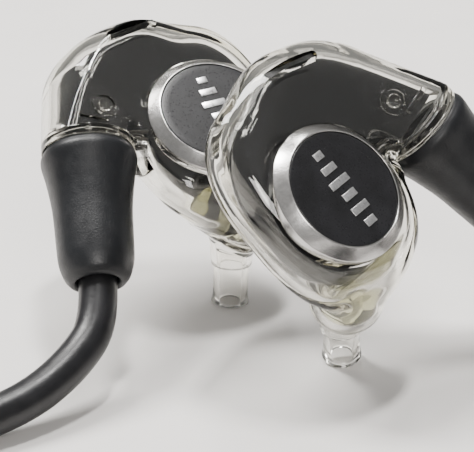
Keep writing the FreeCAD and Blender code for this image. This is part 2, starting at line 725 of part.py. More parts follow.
def plug_sleeve():
    """Grooved sleeve that is pulled back to unlock the plug."""
    s0, s1, radius = PLUG_SLEEVE
    inner = PLUG_WAIST_R + RUNNING_GAP
    sleeve = pipe(on_plug(s0), PLUG_AXIS, s1 - s0, radius, inner)
    for start in SLEEVE_GROOVES:
        sleeve = sleeve.cut(pipe(on_plug(start), PLUG_AXIS, 0.6, radius + 1.0, radius - 0.2))
    return sleeve


def pin_start(k):
    """Foot of one contact pin, on a circle in the plug's nose."""
    angle = 2 * math.pi * k / PLUG_PINS
    circle = PLUG_PIN[2]
    return on_plug(PLUG_CAVITY[0]) + V(circle * math.cos(angle), 0, circle * math.sin(angle))


def plug_insert():
    """Insulator that holds the pins."""
    insert = rod(on_plug(PLUG_CAVITY[0]), PLUG_AXIS, PLUG_INSERT_LENGTH, PLUG_CAVITY[1])
    for k in range(PLUG_PINS):
        insert = insert.cut(rod(pin_start(k), PLUG_AXIS, PLUG_INSERT_LENGTH, PLUG_PIN[0]))
    return insert


def plug_pins():
    radius, length, _ = PLUG_PIN
    return Part.makeCompound([rod(pin_start(k), PLUG_AXIS, length, radius) for k in range(PLUG_PINS)])


PLUG_PIECES = {"plug_boot": plug_boot, "plug_body": plug_body, "plug_sleeve": plug_sleeve,
               "plug_insert": plug_insert, "plug_pins": plug_pins}


# ---------------------------------------------------------------- the whole object
def all_parts():
    shapes = {}
    for name, make in EAR_PIECES.items():
        piece = make()
        for side, place in PLACES.items():
            shapes[name + "_" + side] = placed(piece, place)
    shapes.update(cables())
    shapes["leg_slider"] = slider()
    shapes["splitter"] = splitter()
    for name, make in PLUG_PIECES.items():
        shapes[name] = make()
    return shapes


os.makedirs(PARTS, exist_ok=True)
for node, shape in all_parts().items():
    shape.exportStep(os.path.join(PARTS, node + ".step"))
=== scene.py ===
"""Looks of a pair of in-ear monitors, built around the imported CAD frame.

Each earpiece is made once in its own axes, in millimetres: the origin at the middle of the face ring,
+X towards the cable arm, +Y towards the nozzle side, +Z out of the face. It is then placed for the
left ear, and mirrored and placed for the right one.
"""
import math

import bmesh
import bpy
import numpy as np
from mathutils import Matrix, Vector


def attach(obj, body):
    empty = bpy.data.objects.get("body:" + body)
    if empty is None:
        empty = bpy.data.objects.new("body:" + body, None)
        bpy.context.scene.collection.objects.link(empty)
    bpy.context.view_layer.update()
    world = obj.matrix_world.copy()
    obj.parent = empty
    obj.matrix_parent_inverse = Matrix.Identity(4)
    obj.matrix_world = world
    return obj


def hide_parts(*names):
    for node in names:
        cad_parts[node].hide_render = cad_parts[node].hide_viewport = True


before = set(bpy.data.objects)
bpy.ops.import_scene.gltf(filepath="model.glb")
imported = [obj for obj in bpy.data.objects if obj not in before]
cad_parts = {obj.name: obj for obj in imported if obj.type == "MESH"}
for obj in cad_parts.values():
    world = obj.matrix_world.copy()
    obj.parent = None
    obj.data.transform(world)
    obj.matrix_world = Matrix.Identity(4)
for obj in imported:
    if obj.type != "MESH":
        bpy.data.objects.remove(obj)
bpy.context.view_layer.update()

MM = 0.001
ROOT = "pair"
SHARP = math.radians(38)            # edges that turn more than this stay crisp

# ---------------------------------------------------------------- sizes of one earpiece, millimetres
SNUG = 0.01                         # gap between pieces that fit each other closely
CUT = 6.0                           # long enough for a cutter to reach out of the shell
RING_R = 5.75
RING_RISE = 0.77
RING_LIP = 0.11                     # flat rim of the ring beside the disc
SEAT_DEPTH = 1.0
SEAT_GAP = 0.02                     # between the ring and the clear shell
SEAT_FLOOR_GAP = 0.2
HOUSING_GAP = 0.05                  # between the ring and the dark housing
DISC_R = 4.74
DISC_SUNK = 0.05                    # below the ring's rim
DISC_FLOOR = -0.15
DISC_LEDGE = 0.5                    # how far the ring reaches in under the disc
DISC_SIDE = 0.2                     # height above which the disc's rim is rounded
DISC_FLAT_R = 4.0
RING_EASE = 0.06
DISC_EASE = 0.14
MARK_BARS = (0.9, 1.5, 2.1, 1.4, 1.8, 1.1)
MARK_PITCH = 1.25
MARK_WIDTH = 0.62
MARK_RISE = 0.08
MARK_EASE = 0.03

WALL = 0.7
HOUSING_INSET = 1.25
DRIVER_BAY = (4.45, 4.30)           # radius, and depth below the face
CHAMBER_INSET = 0.85
ARM_SPLIT = 7.6
SPLIT_GAP = 0.02
POD_END = 5.7
POD_GAP = 0.1

POD_CENTRE = (0.25, -1.30, -2.77)
POD_HALF = (7.04, 9.36, 3.27)
POD_LEAN = (0.17, -0.24)
POD_POWER = 2.7
SHOULDER = ((3.41, -7.04, -2.42), 4.84)
ELBOW = ((8.08, -5.82, -3.08), 4.48)
BEND = ((6.10, -7.00, -3.05), 4.50)    # rounds the outside of the arm between shoulder and elbow
NECK = ((11.47, 0.10, -0.92), 3.90)
BELLY = ((1.50, -1.00, -3.70), 5.10)
THROAT = ((0.36, 4.82, -4.92), 3.83)
THROAT_END = ((-0.98, 6.75, -6.30), 3.00)
ARM_BLEND = 2.0
BEND_BLEND = 1.5
THROAT_BLEND = 1.5
DISH_SLOPE = 0.30                   # the face falls away no faster than this around the ring
DISH_TOP = 0.05
DISH_BLEND = 0.8

LOW = (-9.0, -13.5, -13.0)          # the space that holds the whole form
HIGH = (16.5, 11.5, 4.0)
LOW_WITH_COLLAR = (-9.0, -13.5, -15.0)
SHELL_STEP = 0.27                   # mesh spacing of each clear or dark form
HOUSING_STEP = 0.22
DUCT_STEP = 0.40

SEAM = Vector((0.04, 8.38, -10.42))
TIP = Vector((0.45, 10.42, -13.45))
NOZZLE_AXIS = (TIP - SEAM).normalized()
NOZZLE_OUTLINE = [(0.0, 1.62), (0.7, 1.54), (1.9, 1.50), (2.9, 1.53)]
NOZZLE_LIP_R = 1.62
NOZZLE_EASE = 0.12
NOZZLE_BORE = 0.95
SPIGOT_R = 1.24                     # the nozzle's stem inside the collar
SPIGOT_LENGTH = 1.5
SPIGOT_GAP = 0.02
COLLAR_R = (2.20, 1.65)             # where it grows out of the shell, and just past the seam
COLLAR_LENGTH = 4.2
COLLAR_BLEND = 0.8
BORE_START = 2.0                    # inside the shell from where the collar begins
BORE_BLEND = 0.5
THROAT_BORE_R = 0.80
THROAT_BORE_LENGTH = 9.0

BOOT_AXIS = Vector((0.304, 0.944, -0.132)).normalized()
BOOT_LENGTH = 11.6
BOOT_OUTLINE = [(0.0, 3.62), (0.25, 3.80), (0.9, 3.95), (2.6, 3.60), (5.0, 3.26), (7.5, 3.15), (9.6, 3.05),
                (10.9, 2.70), (11.45, 2.32)]
BOOT_LIP = [(11.58, 2.12), (11.6, 1.95), (11.5, 1.80), (11.3, 1.72), (10.6, 1.70)]
BOOT_SOCKET = (2.2, 4.0)            # radius and depth of the hollow at the boot's wide end
FLANGE_R = (3.84, 2.6)
FLANGE_LENGTH = 0.86
FLANGE_GAP = 0.02                   # between the flange and the boot
FLANGE_EASE = 0.12
NECK_CUT_R = 4.9
NECK_CUT_LENGTH = 16.0
SHELL_STOP = 0.9                    # the shell and the dark filler end this far before the boot
FILLER_STOP = 1.2

SLOT_START = Vector((1.16, -10.21, 0.11))
SLOT_END = Vector((5.96, -9.06, -0.06))
SLOT_WIDTH = 0.70
SLOT_DEPTH = 3.0
SLOT_EASE = 0.25
SCREEN_GAP = (0.05, 0.03)           # at the screen's ends and along its sides
SCREEN_THICK = 0.12
SCREEN_DEPTH = 0.65
BOSS_AT = Vector((9.16, -2.80, 1.0))
RIM_R = (0.86, 1.16)                # the moulded ring round the button
RIM_RISE = 0.18
BUTTON_R = 0.59
BUTTON_RISE = 0.12
BUTTON_DEPTH = 0.34
BUTTON_EASE = 0.12
BAR_AT = Vector((10.65, -1.75, 1.5))
BAR_SIZE = (2.6, 0.45, 0.22)        # length, width and height above the skin
DETAIL_ROOT = 0.3                   # how far a raised detail reaches into the wall
DETAIL_EASE = 0.1

PLACES = {
    "left": {"at": (-5.91, 5.23, 17.03), "face": (0.205, -0.518, 0.8305),
             "nozzle_side": (0.416, -0.7215, -0.5534), "flip": 1.0},
    "right": {"at": (3.69, -11.12, 16.95), "face": (0.457, -0.580, 0.674),
              "nozzle_side": (0.632, -0.3207, -0.7055), "flip": -1.0},
}

# ---------------------------------------------------------------- cable layout, millimetres
CABLE_D = 3.1
LIE = 0.02 + CABLE_D / 2
LIFTED = LIE + 0.6
LAYER = CABLE_D + 0.02
PAIR = CABLE_D + 0.04
LEG_COIL = {"at": (-11.1, -54.7), "radius": 18.3, "pitch": 2 * PAIR, "start": 90.0, "sweep": 427.5,
            "ring_shift": (-1.75, -0.45), "ring_radius": 19.9}
MAIN_COIL = {"at": (27.9, -54.7), "radius": 20.3, "pitch": CABLE_D + 0.02, "start": 350.0,
             "sweep": 1092.5, "ring_shift": (0.75, 0.0), "ring_radius": 21.1}
LEFT_JOINS = 105.0
COIL_STEP = 15.0                    # degrees between the points of a coil's turns
CLIMB = 40.0                        # a coil changes layer within this many degrees of its inner end

LEFT_LEAD = [(-16.6, -13.9, 3.9), (-19.7, -17.3, 2.4), (-24.2, -20.4, 1.75), (-28.1, -24.0, LIE),
             (-30.6, -30.0, LIE), (-31.2, -38.5, 1.9), (-31.2, -49.0, LIFTED)]
RIGHT_LEAD = [(27.4, -2.6, 4.4), (33.0, -5.6, 2.4), (37.4, -11.6, LIE), (37.8, -19.6, LIE),
              (31.9, -27.2, LIE), (21.4, -30.4, LIE), (9.4, -31.0, LIE), (-0.1, -35.5, 1.9)]
PAIR_TAIL = [(-19.1, -72.6, 5.2), (-14.5, -76.8, 3.9), (-8.2, -78.9, 2.6), (0.8, -79.5, LIFTED),
             (17.8, -79.5, LIFTED)]
MAIN_LEAD = [(30.8, -79.5, 2.52), (36.4, -79.5, 2.52), (43.0, -75.9, 2.3), (47.2, -67.6, 2.2)]
MAIN_TAIL = [(45.7, -43.0, 5.0), (44.8, -36.2, 4.52), (44.8, -29.5, 4.52)]
STRAIGHT_OUT = {"left": 3.2, "right": 4.5}
SPLITTER_START = Vector((17.8, -79.5, 2.52))
SPLITTER_SIZE = (13.0, 6.9, 5.0)
SPLITTER_EASE = 1.2
GRIP_GROOVES = 4
GRIP_PITCH = 1.6
GRIP_SIZE = (0.5, 4.2, 0.5)
GRIP_EASE = 0.12
SLIDER_AT = Vector((11.3, -79.5, LIFTED))
SLIDER_SIZE = (6.0, 7.6, 4.3)
SLIDER_EASE = 0.7
SLIDER_GAP = 0.14                   # round each leg; the legs curve a little where it slides
TIE_THICK = 0.5
TIE_WIDTH = 5.0
TIE_SLACK = 0.3
TIE_LIFT = 0.05
TIE_CORNER = 1.2
IN_BOOT = 0.9                       # a leg starts this far inside its boot

# ---------------------------------------------------------------- plug, millimetres from where it starts
PLUG_START = Vector((44.8, -29.5, 4.52))
PLUG_AXIS = Vector((0.0, 1.0, 0.0))
RIB_START = 1.8
RIB_PITCH = 1.7
RIB_COUNT = 7
RIB_R = 2.05
RIB_GROWTH = 0.15                   # each rib is this much larger than the one before
RIB_OUTLINE = ((0.0, 0.10), (1.1, 0.20), (1.2, -0.12), (1.55, -0.05))    # along, and beyond RIB_R
PLUG_BOOT_FRONT = [(0.0, 0.0), (0.0, 1.8), (0.2, 1.95), (1.4, 2.0)]
PLUG_BOOT_BACK = [(14.4, 3.20), (16.6, 3.46), (19.6, 3.66), (20.0, 3.6), (20.0, 0.0)]
PLUG_COLLAR = (20.0, 22.99, 4.39)   # start, end and radius
PLUG_CORE_R = 3.9                   # under the sleeve
PLUG_NOSE = (35.2, 44.99, 3.59)
PLUG_CAVITY = (38.0, 2.81)          # floor and radius
PLUG_EASE = 0.12
SLEEVE = (24.7, 35.09, 4.49)
SLEEVE_BORE = 3.96
SLEEVE_GROOVES = (25.8, 27.0, 28.2, 29.4)
GROOVE_WIDTH = 0.6
GROOVE_R = 4.30
GROOVE_SLOPE = 0.1

# ---------------------------------------------------------------- camera
CAMERA_AT = Vector((-4.11, -151.02, 76.41))    # millimetres
CAMERA_DOWN = math.radians(24)
CAMERA_LENS = 151.9


# ---------------------------------------------------------------- the body's form
def smaller(a, b, reach):
    """Smaller of two distances, with a round fillet where they meet."""
    h = np.clip(0.5 + 0.5 * (b - a) / reach, 0.0, 1.0)
    return b * (1.0 - h) + a * h - reach * h * (1.0 - h)


def round_cone(p, start, end):
    """Distance to a tapered rod with ball ends."""
    a, b = np.array(start[0]), np.array(end[0])
    run = b - a
    h = np.clip(((p - a) @ run) / (run @ run), 0.0, 1.0)
    return np.linalg.norm(p - a - h[..., None] * run, axis=-1) - (start[1] + (end[1] - start[1]) * h)


def body(p):
    """Negative inside the earpiece's outer skin, positive outside."""
    q = p - np.array(POD_CENTRE)
    x = np.abs(q[..., 0] - POD_LEAN[0] * q[..., 2]) / POD_HALF[0]
    y = np.abs(q[..., 1] - POD_LEAN[1] * q[..., 2]) / POD_HALF[1]
    z = np.abs(q[..., 2]) / POD_HALF[2]
    mean_half = sum(POD_HALF) / 3.0
    pod = ((x ** POD_POWER + y ** POD_POWER + z ** POD_POWER) ** (1.0 / POD_POWER) - 1.0) * mean_half
    belly = np.linalg.norm(p - np.array(BELLY[0]), axis=-1) - BELLY[1]
    bend = np.linalg.norm(p - np.array(BEND[0]), axis=-1) - BEND[1]
    arm = smaller(np.minimum(round_cone(p, SHOULDER, ELBOW), round_cone(p, ELBOW, NECK)), bend,
                  BEND_BLEND)
    form = smaller(smaller(pod, belly, ARM_BLEND), arm, ARM_BLEND)
    form = smaller(form, round_cone(p, THROAT, THROAT_END), THROAT_BLEND)
    away = np.maximum(np.hypot(p[..., 0], p[..., 1]) - RING_R, 0.0)
    dish = p[..., 2] - DISH_SLOPE * away - DISH_TOP
    return -smaller(-form, -dish, DISH_BLEND)


def slope(distance, p, e=0.01):
    """Gradient of a distance at each point."""
    steps = np.eye(3) * e
    return np.stack([(distance(p + d) - distance(p - d)) / (2 * e) for d in steps], axis=-1)


def on_skin(p):
    """Nearest point to p on the skin, and the direction straight out of it."""
    p = np.array(p, float)
    for _ in range(12):
        g = slope(body, p)
        p = p - g * body(p) / (g @ g)
    g = slope(body, p)
    return Vector(p), Vector(g / np.linalg.norm(g))


# ---------------------------------------------------------------- meshes
def new_mesh(name, points, faces):
    mesh = bpy.data.meshes.new(name)
    mesh.from_pydata([tuple(map(float, p)) for p in points], [], [list(map(int, f)) for f in faces])
    mesh.update()
    return mesh


def skin_mesh(distance, low, high, step):
    """Closed mesh of even quads on the surface where a distance is zero."""
    axes = [np.arange(a, b + step, step) for a, b in zip(low, high)]
    grid = np.stack(np.meshgrid(*axes, indexing="ij"), axis=-1)
    value = distance(grid)
    total = np.zeros(value.shape + (3,))
    count = np.zeros(value.shape)
    rings = []
    for axis in range(3):
        here = [slice(None)] * 3
        there = [slice(None)] * 3
        here[axis] = slice(0, -1)
        there[axis] = slice(1, None)
        a, b = value[tuple(here)], value[tuple(there)]
        crossed = (a < 0) != (b < 0)
        cell = np.argwhere(crossed)
        point = grid[tuple(here)][crossed]
        point[:, axis] += step * a[crossed] / (a[crossed] - b[crossed])
        u, v = (axis + 1) % 3, (axis + 2) % 3
        ring = []
        for du, dv in ((0, 0), (-1, 0), (-1, -1), (0, -1)):
            corner = cell.copy()
            corner[:, u] += du
            corner[:, v] += dv
            np.add.at(total, tuple(corner.T), point)
            np.add.at(count, tuple(corner.T), 1)
            ring.append(np.ravel_multi_index(tuple(corner.T), value.shape))
        ring = np.stack(ring, axis=1)
        inward = b[crossed] < 0
        ring[inward] = ring[inward, ::-1]
        rings.append(ring)
    used = count.ravel() > 0
    number = np.cumsum(used) - 1
    points = total.reshape(-1, 3)[used] / count.ravel()[used, None]
    faces = number[np.concatenate(rings)]
    edges = np.concatenate([faces[:, [k, (k + 1) % 4]] for k in range(4)])
    for _ in range(6):
        near = np.zeros_like(points)
        share = np.zeros(len(points))
        np.add.at(near, edges[:, 0], points[edges[:, 1]])
        np.add.at(share, edges[:, 0], 1)
        points = 0.5 * points + 0.5 * near / share[:, None]
        for _ in range(2):
            g = slope(distance, points)
            points = points - g * (distance(points) / np.sum(g * g, axis=-1))[:, None]
    return points, faces


def lathe(profile, start, axis, segments=96):
    """Closed solid turned from a closed list of (distance along, radius)."""
    axis = Vector(axis).normalized()
    side = axis.orthogonal().normalized()
    other = axis.cross(side)
    points = []
    for k in range(segments):
        turn = 2 * math.pi * k / segments
        out = side * math.cos(turn) + other * math.sin(turn)
        points += [Vector(start) + axis * s + out * r for s, r in profile]
    count = len(profile)
    faces = []
    for k in range(segments):
        after = (k + 1) % segments
        for j in range(count):
            on = (j + 1) % count
            faces.append((k * count + j, after * count + j, after * count + on, k * count + on))
    mesh = new_mesh("lathe", points, faces)
    work = bmesh.new()
    work.from_mesh(mesh)
    bmesh.ops.remove_doubles(work, verts=work.verts, dist=1e-5)
    on_axis = [edge for edge in work.edges if not edge.link_faces]
    bmesh.ops.delete(work, geom=on_axis, context="EDGES")
    bmesh.ops.recalc_face_normals(work, faces=work.faces)
    work.to_mesh(mesh)
    work.free()
    return mesh


def eased(corners, reach, steps=4, closed=True):
    """Outline with each corner rounded within a reach; an open one keeps its two ends."""
    points = []
    count = len(corners)
    for k, corner in enumerate(corners):
        corner = np.array(corner, float)
        before = np.array(corners[k - 1], float) - corner
        after = np.array(corners[(k + 1) % count], float) - corner
        if not closed and k in (0, count - 1):
            points.append(tuple(corner))
            continue
        a = before * min(reach / np.linalg.norm(before), 0.45)
        b = after * min(reach / np.linalg.norm(after), 0.45)
        for j in range(steps + 1):
            t = j / steps
            points.append(tuple(corner + a * (1 - t) ** 2 + b * t ** 2))
    return points


def flowing(outline, steps=5):
    """Points of a smooth curve through an outline."""
    p = [np.array(q, float) for q in outline]
    p = [2 * p[0] - p[1]] + p + [2 * p[-1] - p[-2]]
    points = []
    for a, b, c, d in zip(p, p[1:], p[2:], p[3:]):
        for j in range(steps):
            t = j / steps
            points.append(tuple(0.5 * (2 * b + (c - a) * t + (2 * a - 5 * b + 4 * c - d) * t ** 2
                                       + (3 * b - a - 3 * c + d) * t ** 3)))
    points.append(tuple(p[-2]))
    return points


def rounded_block(centre, along, up, size, radius, steps=3):
    """Box with rounded edges, turned to two directions."""
    along = Vector(along).normalized()
    across = Vector(up).cross(along).normalized()
    up = along.cross(across)
    work = bmesh.new()
    bmesh.ops.create_cube(work, size=1.0)
    for vert in work.verts:
        vert.co = Vector((vert.co.x * size[0], vert.co.y * size[1], vert.co.z * size[2]))
    if radius:
        bmesh.ops.bevel(work, geom=list(work.edges), offset=radius, segments=steps, profile=0.5,
                        affect="EDGES")
    turn = Matrix((along, across, up)).transposed().to_4x4()
    turn.translation = Vector(centre)
    bmesh.ops.transform(work, matrix=turn, verts=work.verts)
    mesh = bpy.data.meshes.new("block")
    work.to_mesh(mesh)
    work.free()
    return mesh


def joined(meshes):
    """One mesh of several separate closed solids."""
    work = bmesh.new()
    for mesh in meshes:
        work.from_mesh(mesh)
    mesh = bpy.data.meshes.new("joined")
    work.to_mesh(mesh)
    work.free()
    return mesh


def combine(mesh, other, operation):
    """Boolean of two closed meshes."""
    holder = bpy.data.objects.new("holder", mesh)
    cutter = bpy.data.objects.new("cutter", other)
    for item in (holder, cutter):
        bpy.context.scene.collection.objects.link(item)
    step = holder.modifiers.new("boolean", "BOOLEAN")
    step.operation = operation
    step.object = cutter
    step.solver = "EXACT"
    graph = bpy.context.evaluated_depsgraph_get()
    result = bpy.data.meshes.new_from_object(holder.evaluated_get(graph))
    for item in (holder, cutter):
        bpy.data.objects.remove(item)
    return result


def cylinder(start, axis, length, radius, segments=64):
    return lathe([(0.0, 0.0), (0.0, radius), (length, radius), (length, 0.0)], start, axis, segments)


def half_space(centre, out, size=60.0):
    """Large block whose face passes through a point, standing on the side that out points to."""
    out = Vector(out).normalized()
    return rounded_block(Vector(centre) + out * size / 2, out.orthogonal(), out, (size, size, size), 0)


# ---------------------------------------------------------------- materials
def material(name, colour, roughness, **sockets):
    made = bpy.data.materials.new(name)
    made.use_nodes = True
    shader = made.node_tree.nodes["Principled BSDF"]
    shader.inputs["Base Color"].default_value = (*colour, 1.0)
    shader.inputs["Roughness"].default_value = roughness
    for label, value in sockets.items():
        shader.inputs[label.replace("_", " ")].default_value = value
    return made


def noise(made, scale, detail=4.0):
    """Noise value over the object's own coordinates, in metres."""
    nodes, links = made.node_tree.nodes, made.node_tree.links
    place = nodes.new("ShaderNodeTexCoord")
    texture = nodes.new("ShaderNodeTexNoise")
    texture.inputs["Scale"].default_value = scale
    texture.inputs["Detail"].default_value = detail
    links.new(place.outputs["Object"], texture.inputs["Vector"])
    return texture.outputs["Fac"]


def vary_colour(made, value, low, high):
    """Base colour that drifts between two colours with a noise value."""
    nodes, links = made.node_tree.nodes, made.node_tree.links
    ramp = nodes.new("ShaderNodeValToRGB")
    ramp.color_ramp.elements[0].position = 0.3
    ramp.color_ramp.elements[1].position = 0.7
    ramp.color_ramp.elements[0].color = (*low, 1.0)
    ramp.color_ramp.elements[1].color = (*high, 1.0)
    links.new(value, ramp.inputs["Fac"])
    links.new(ramp.outputs["Color"], nodes["Principled BSDF"].inputs["Base Color"])


def vary_roughness(made, value, low, high):
    nodes, links = made.node_tree.nodes, made.node_tree.links
    span = nodes.new("ShaderNodeMapRange")
    span.inputs["From Min"].default_value = 0.3
    span.inputs["From Max"].default_value = 0.7
    span.inputs["To Min"].default_value = low
    span.inputs["To Max"].default_value = high
    links.new(value, span.inputs["Value"])
    links.new(span.outputs["Result"], nodes["Principled BSDF"].inputs["Roughness"])


def add_bump(made, value, depth, strength=1.0):
    """Relief of a depth in metres; several calls stack."""
    nodes, links = made.node_tree.nodes, made.node_tree.links
    bump = nodes.new("ShaderNodeBump")
    bump.inputs["Strength"].default_value = strength
    bump.inputs["Distance"].default_value = depth
    links.new(value, bump.inputs["Height"])
    target = nodes["Principled BSDF"].inputs["Normal"]
    if target.is_linked:
        links.new(target.links[0].from_socket, bump.inputs["Normal"])
    links.new(bump.outputs["Normal"], target)


def tint_inside(made, colour, density):
    """Colour that deepens with the thickness of clear plastic."""
    nodes, links = made.node_tree.nodes, made.node_tree.links
    volume = nodes.new("ShaderNodeVolumeAbsorption")
    volume.inputs["Color"].default_value = (*colour, 1.0)
    volume.inputs["Density"].default_value = density
    links.new(volume.outputs["Volume"], nodes["Material Output"].inputs["Volume"])


def clear_plastic():
    """Clear shell plastic with a faint warm tint and slightly uneven surface."""
    made = material("clear_plastic", (1.0, 1.0, 1.0), 0.02, IOR=1.46, Transmission_Weight=1.0)
    vary_colour(made, noise(made, 150.0, 2.0), (0.985, 0.98, 0.965), (1.0, 1.0, 0.995))
    vary_roughness(made, noise(made, 900.0), 0.012, 0.04)
    add_bump(made, noise(made, 260.0, 1.0), 0.00001, 0.35)
    tint_inside(made, (0.90, 0.86, 0.66), 150.0)
    return made


def amber_plastic():
    """Clear plastic with a grey-yellow tint."""
    made = material("amber_plastic", (0.95, 0.95, 0.90), 0.04, IOR=1.34, Transmission_Weight=1.0)
    vary_colour(made, noise(made, 320.0), (0.90, 0.90, 0.82), (0.98, 0.98, 0.93))
    vary_roughness(made, noise(made, 700.0), 0.02, 0.08)
    add_bump(made, noise(made, 500.0, 2.0), 0.00003, 0.5)
    tint_inside(made, (0.64, 0.635, 0.47), 480.0)
    return made


def dark_plastic():
    """Near-black gloss of the housing inside the clear shell."""
    made = material("dark_plastic", (0.010, 0.012, 0.015), 0.10, Specular_IOR_Level=0.8)
    vary_colour(made, noise(made, 220.0), (0.008, 0.009, 0.011), (0.018, 0.019, 0.022))
    vary_roughness(made, noise(made, 400.0), 0.08, 0.13)
    add_bump(made, noise(made, 200.0, 1.0), 0.00002, 0.2)
    return made


def fine_metal(name, low, high, rough_low, rough_high):
    """Metal with a very fine mottled grain."""
    made = material(name, high, rough_low, Metallic=1.0)
    grain = noise(made, 5200.0, 5.0)
    vary_colour(made, grain, low, high)
    vary_roughness(made, noise(made, 2500.0, 5.0), rough_low, rough_high)
    add_bump(made, grain, 0.000006, 0.5)
    return made


def satin_black():
    """Fine-grained dark face of the disc."""
    made = material("satin_black", (0.010, 0.010, 0.012), 0.34, Specular_IOR_Level=0.40)
    vary_colour(made, noise(made, 500.0), (0.008, 0.008, 0.009), (0.014, 0.014, 0.016))
    vary_roughness(made, noise(made, 6000.0), 0.26, 0.36)
    add_bump(made, noise(made, 9000.0, 2.0), 0.000006, 0.4)
    return made


def rubber(name, low, high, rough_low, rough_high, grain, depth):
    """Dark rubber with a grain of a chosen scale and depth."""
    made = material(name, high, rough_high, Specular_IOR_Level=0.42)
    vary_colour(made, noise(made, 400.0), low, high)
    vary_roughness(made, noise(made, 1200.0), rough_low, rough_high)
    add_bump(made, noise(made, grain, 3.0), depth, 0.6)
    return made


def plain(name, low, high, rough_low, rough_high, grain=3000.0, depth=0.00001, **sockets):
    """Moulded or plated surface with a fine grain."""
    made = material(name, high, rough_low, **sockets)
    vary_colour(made, noise(made, 600.0), low, high)
    vary_roughness(made, noise(made, 2200.0), rough_low, rough_high)
    add_bump(made, noise(made, grain, 3.0), depth, 0.5)
    return made


def woven_strap():
    """Fine diagonal weave of dark thread."""
    made = material("woven_strap", (0.03, 0.03, 0.032), 0.8, Sheen_Weight=0.3)
    nodes, links = made.node_tree.nodes, made.node_tree.links
    place = nodes.new("ShaderNodeTexCoord")
    wave = nodes.new("ShaderNodeTexWave")
    wave.inputs["Scale"].default_value = 900.0
    wave.inputs["Distortion"].default_value = 2.0
    wave.bands_direction = "DIAGONAL"
    links.new(place.outputs["Object"], wave.inputs["Vector"])
    vary_colour(made, wave.outputs["Fac"], (0.015, 0.015, 0.016), (0.05, 0.05, 0.053))
    vary_roughness(made, noise(made, 3000.0), 0.7, 0.9)
    add_bump(made, wave.outputs["Fac"], 0.00008, 0.8)
    return made


CLEAR = clear_plastic()
AMBER = amber_plastic()
DARK = dark_plastic()
SILVER = fine_metal("ring_steel", (0.56, 0.55, 0.54), (0.66, 0.65, 0.64), 0.20, 0.27)
MARK = fine_metal("mark_aluminium", (0.62, 0.62, 0.63), (0.85, 0.85, 0.86), 0.25, 0.4)
DISC = satin_black()
MESH = plain("vent_mesh", (0.01, 0.01, 0.01), (0.05, 0.05, 0.05), 0.4, 0.7, 5000.0, 0.0001, Metallic=0.6)
BOOT = rubber("boot_rubber", (0.004, 0.0045, 0.006), (0.009, 0.010, 0.012), 0.36, 0.48, 6500.0, 0.00003)
JACKET = rubber("cable_jacket", (0.006, 0.006, 0.007), (0.011, 0.011, 0.013), 0.30, 0.42, 2600.0, 0.00002)
MOULDED = plain("moulded_black", (0.007, 0.007, 0.008), (0.014, 0.014, 0.016), 0.4, 0.55, 4200.0, 0.00003)
STRAP = woven_strap()
NICKEL = fine_metal("plug_nickel", (0.60, 0.60, 0.59), (0.68, 0.67, 0.66), 0.22, 0.29)
INSULATOR = plain("insulator", (0.62, 0.60, 0.52), (0.75, 0.73, 0.65), 0.4, 0.6)
GOLD = plain("gold_plate", (0.70, 0.50, 0.20), (0.85, 0.66, 0.30), 0.15, 0.3, Metallic=1.0)
FILM = plain("film", (0.50, 0.47, 0.38), (0.66, 0.62, 0.50), 0.2, 0.35, Metallic=0.8)
WIRE = plain("wire_jacket", (0.02, 0.018, 0.017), (0.05, 0.045, 0.04), 0.35, 0.5)
SPACER = plain("spacer_plastic", (0.08, 0.08, 0.085), (0.14, 0.14, 0.15), 0.4, 0.6)


# ---------------------------------------------------------------- placing pieces
def add(name, mesh, finish, body_name=ROOT, nodes=()):
    """Shown piece that rides on a body and stands for CAD nodes."""
    mesh.name = name
    mesh.materials.clear()
    mesh.materials.append(finish)
    mesh.polygons.foreach_set("use_smooth", [True] * len(mesh.polygons))
    mesh.set_sharp_from_angle(angle=SHARP)
    piece = bpy.data.objects.new(name, mesh)
    bpy.context.scene.collection.objects.link(piece)
    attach(piece, body_name)
    if nodes:
        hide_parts(*nodes)
    return piece


def even_normals(piece):
    """Keeps flat faces flat beside their rounded edges."""
    step = piece.modifiers.new("even", "WEIGHTED_NORMAL")
    step.weight = 100
    return piece


def ear_matrix(side):
    """From an earpiece's own axes, in millimetres, to the axes that all pieces share, in metres."""
    place = PLACES[side]
    z = Vector(place["face"]).normalized()
    y = Vector(place["nozzle_side"])
    y = (y - z * y.dot(z)).normalized()
    x = y.cross(z) * place["flip"]
    turn = Matrix((x, y, z)).transposed().to_4x4()
    turn.translation = Vector(place["at"])
    return Matrix.Scale(MM, 4) @ turn


def add_to_ears(name, mesh, finish, nodes, even=False):
    """The same piece on the left earpiece and, mirrored, on the right one."""
    for side in PLACES:
        placed = mesh.copy()
        matrix = ear_matrix(side)
        placed.transform(matrix)
        if matrix.determinant() < 0:
            placed.flip_normals()
        piece = add(f"{name}_{side}_look", placed, finish, nodes=[f"{n}_{side}" for n in nodes])
        if even:
            even_normals(piece)


def to_metres(mesh):
    """Brings a mesh that was made in millimetres to metres."""
    mesh.transform(Matrix.Scale(MM, 4))
    return mesh


